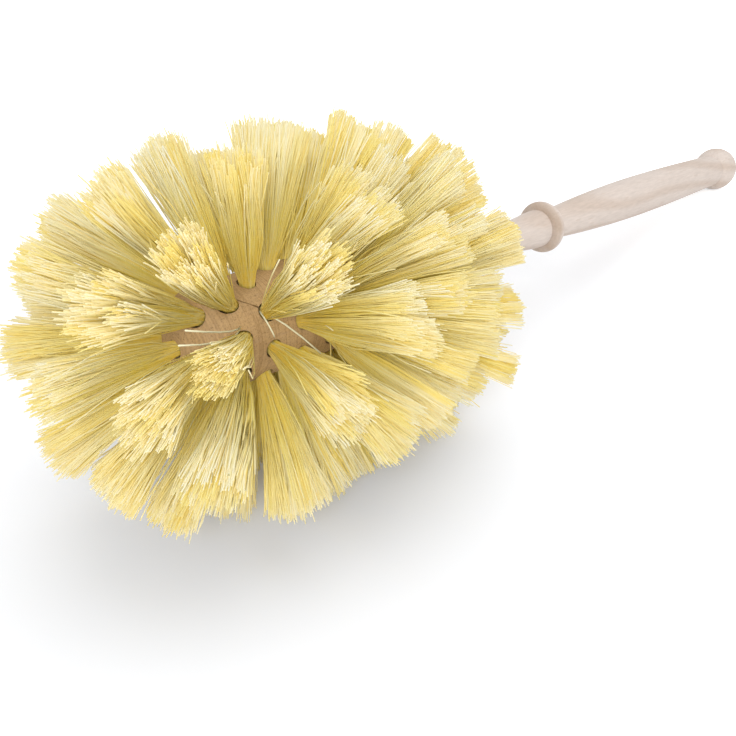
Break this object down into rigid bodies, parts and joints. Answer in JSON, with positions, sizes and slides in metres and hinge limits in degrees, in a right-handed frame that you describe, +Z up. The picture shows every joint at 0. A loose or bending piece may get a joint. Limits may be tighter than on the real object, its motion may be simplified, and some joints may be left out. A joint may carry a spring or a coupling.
{
  "type": "toilet brush",
  "caption": "Round toilet brush: one turned wooden head and handle with collar and knob, its head bored and set with fanned tufts of stiff plant fibre held by wire anchors.",
  "frame": {"origin": "middle of the floor under the brush as it lies at rest on its lowest fibres and its knob", "axes": "+X along the brush from the bristle ball to the knob, as seen from above; +Z up; +Y to the side"},
  "size_m": [0.3744, 0.1096, 0.1119],
  "materials": {
    "wood": "bare turned beech, sanded",
    "fibre": "dry stiff plant fibre, satin, paler at the cut tips",
    "anchor_wire": "dull galvanised flat wire"
  },
  "bodies": {
    "root": {"anchor_apex": "anchor_wire", "anchor_nose_1": "anchor_wire", "anchor_nose_2": "anchor_wire", "anchor_nose_3": "anchor_wire", "anchor_nose_4": "anchor_wire", "anchor_nose_5": "anchor_wire", "anchor_nose_6": "anchor_wire", "anchor_ring1_1": "anchor_wire", "anchor_ring1_2": "anchor_wire", "anchor_ring1_3": "anchor_wire", "anchor_ring1_4": "anchor_wire", "anchor_ring1_5": "anchor_wire", "anchor_ring1_6": "anchor_wire", "anchor_ring1_7": "anchor_wire", "anchor_ring1_8": "anchor_wire", "anchor_ring1_9": "anchor_wire", "anchor_ring2_1": "anchor_wire", "anchor_ring2_2": "anchor_wire", "anchor_ring2_3": "anchor_wire", "anchor_ring2_4": "anchor_wire", "anchor_ring2_5": "anchor_wire", "anchor_ring2_6": "anchor_wire", "anchor_ring2_7": "anchor_wire", "anchor_ring2_8": "anchor_wire", "anchor_ring2_9": "anchor_wire", "anchor_ring3_1": "anchor_wire", "anchor_ring3_2": "anchor_wire", "anchor_ring3_3": "anchor_wire", "anchor_ring3_4": "anchor_wire", "anchor_ring3_5": "anchor_wire", "anchor_ring3_6": "anchor_wire", "anchor_ring3_7": "anchor_wire", "anchor_ring3_8": "anchor_wire", "anchor_ring3_9": "anchor_wire", "anchor_ring4_1": "anchor_wire", "anchor_ring4_2": "anchor_wire", "anchor_ring4_3": "anchor_wire", "anchor_ring4_4": "anchor_wire", "anchor_ring4_5": "anchor_wire", "anchor_ring4_6": "anchor_wire", "anchor_ring4_7": "anchor_wire", "anchor_ring4_8": "anchor_wire", "anchor_ring5_1": "anchor_wire", "anchor_ring5_2": "anchor_wire", "anchor_ring5_3": "anchor_wire", "anchor_ring5_4": "anchor_wire", "anchor_ring5_5": "anchor_wire", "anchor_ring5_6": "anchor_wire", "anchor_ring5_7": "anchor_wire", "anchor_ring5_8": "anchor_wire", "anchor_ring6_1": "anchor_wire", "anchor_ring6_2": "anchor_wire", "anchor_ring6_3": "anchor_wire", "anchor_ring6_4": "anchor_wire", "anchor_ring6_5": "anchor_wire", "anchor_ring6_6": "anchor_wire", "anchor_ring6_7": "anchor_wire", "anchor_ring6_8": "anchor_wire", "bristles": "fibre", "wooden_body": "wood"}
  },
  "joints": []
}
